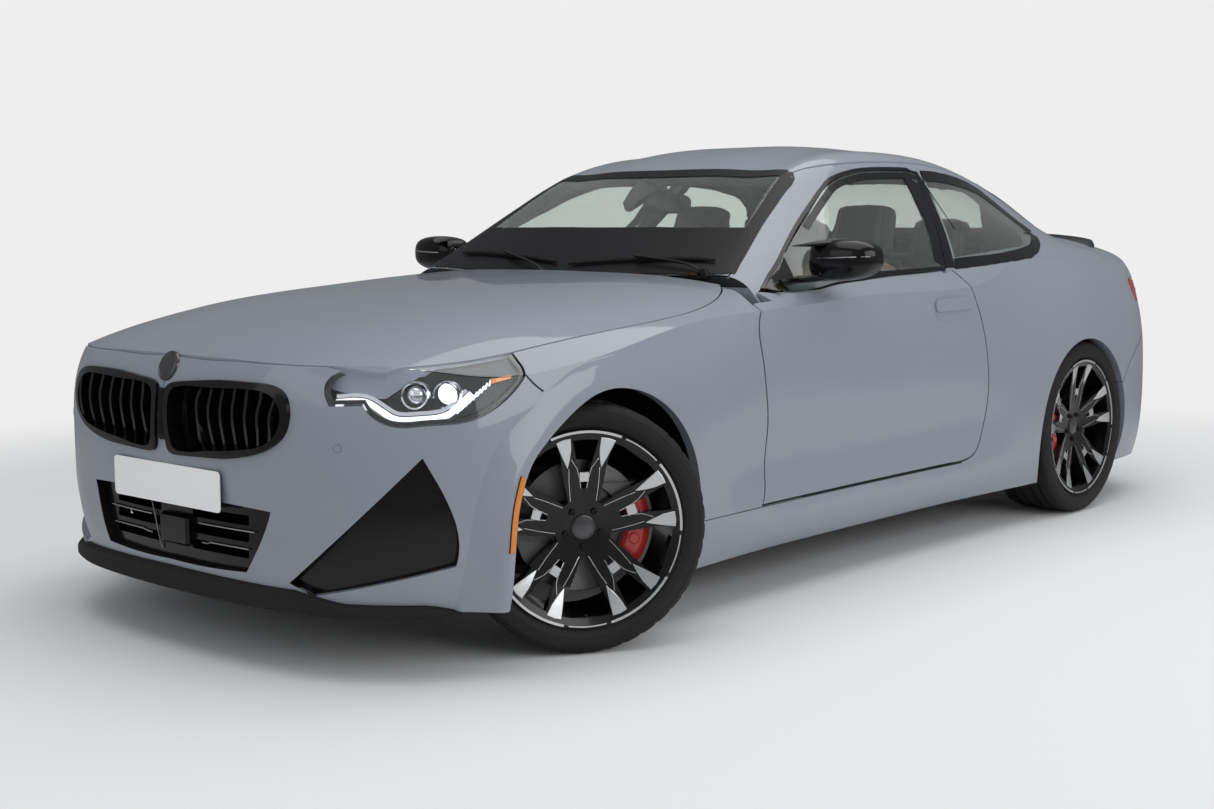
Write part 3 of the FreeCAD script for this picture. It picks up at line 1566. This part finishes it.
def exhaust():
    """Pipe under the floor, rear silencer and two tail pipes."""
    tail_x = body_length / 2
    back = front_axle_x + silencer_rear
    front = back - silencer_length
    silencer = rounded_box((front, -exhaust_y, silencer_low), (back, exhaust_y, silencer_high),
                           silencer_round)
    pieces = []
    for side in (-1, 1):
        y = side * exhaust_y * pipe_share
        tip = Part.makeCylinder(exhaust_radius, tail_x - back + wall / 2,
                                point(back - wall / 2, y, exhaust_level), REAR)
        bore = Part.makeCylinder(exhaust_radius - flange / 2, tail_x - back,
                                 point(back + wall, y, exhaust_level), REAR)
        hanger = box((front, y - hanger_half, exhaust_level),
                     (front + hanger_length, y + hanger_half, boot_floor - seat_gap))
        pieces += [tip.cut(bore), hanger]
    return silencer.fuse(pieces)


save("front_rails", front_rails())
save("firewall", firewall())
save("floor_pan", floor_pan())
save("boot_frame", boot_frame())
save("sills", Part.makeCompound([sill_left, mirrored(sill_left)]))
save("hood", hood)
save("boot_lid", lid)
save("roof_panel", roof)
save("front_bumper", front_bumper)
save("rear_bumper", rear_bumper)
save("lower_trims", Part.makeCompound([splitter(), rear_diffuser()]))
framed = kidney_grille()
save("front_grilles", Part.makeCompound([framed, mirrored(framed)] + lower_grilles()))
for name, shape in (("fender", fender_left), ("body_side", body_side_left), ("door", door_left),
                    ("door_glass", side_glass), ("mirror", mirror_left())):
    save(name + "_left", shape)
    save(name + "_right", mirrored(shape))
save("windscreen", windscreen)
save("rear_windows", Part.makeCompound([back_window, quarter_glass, mirrored(quarter_glass)]))
lamp = lamp_housing(lamp_spots, front_axle_x, 1)
lens = lamp_lens(lamp_spots, front_axle_x, 1)
save("headlamps", Part.makeCompound([lamp, mirrored(lamp)]))
save("headlamp_lenses", Part.makeCompound([lens, mirrored(lens)]))
tail = tail_lamp()
save("tail_lamps", Part.makeCompound([tail, mirrored(tail)]))
save_corners("tyre", tyre(front_tyre_width), front_axle_x, front_track / 2, "front", -steer_angle)
save_corners("tyre", tyre(rear_tyre_width), rear_axle_x, rear_track / 2, "rear", 0)
save_corners("wheel", wheel(), front_axle_x, front_track / 2, "front", -steer_angle)
save_corners("wheel", wheel(), rear_axle_x, rear_track / 2, "rear", 0)
save_corners("carrier", upright(1), front_axle_x, front_track / 2, "front", -steer_angle)
carrier = placed(upright(-1), rear_axle_x, -rear_track / 2)
save("rear_carriers", Part.makeCompound([carrier, mirrored(carrier)]))
save("suspension", Part.makeCompound([suspension(front_axle_x, front_beam_y, front_track),
                                      suspension(rear_axle_x, rear_beam_y, rear_track)]))
save("engine_block", engine())
save("exhaust", exhaust())
save("front_seats", Part.makeCompound([seat(-seat_y), seat(seat_y)]))
save("rear_bench", rear_bench())
save("dashboard", dashboard().cut(column_bore()))
save("steering_wheel", steering_wheel())
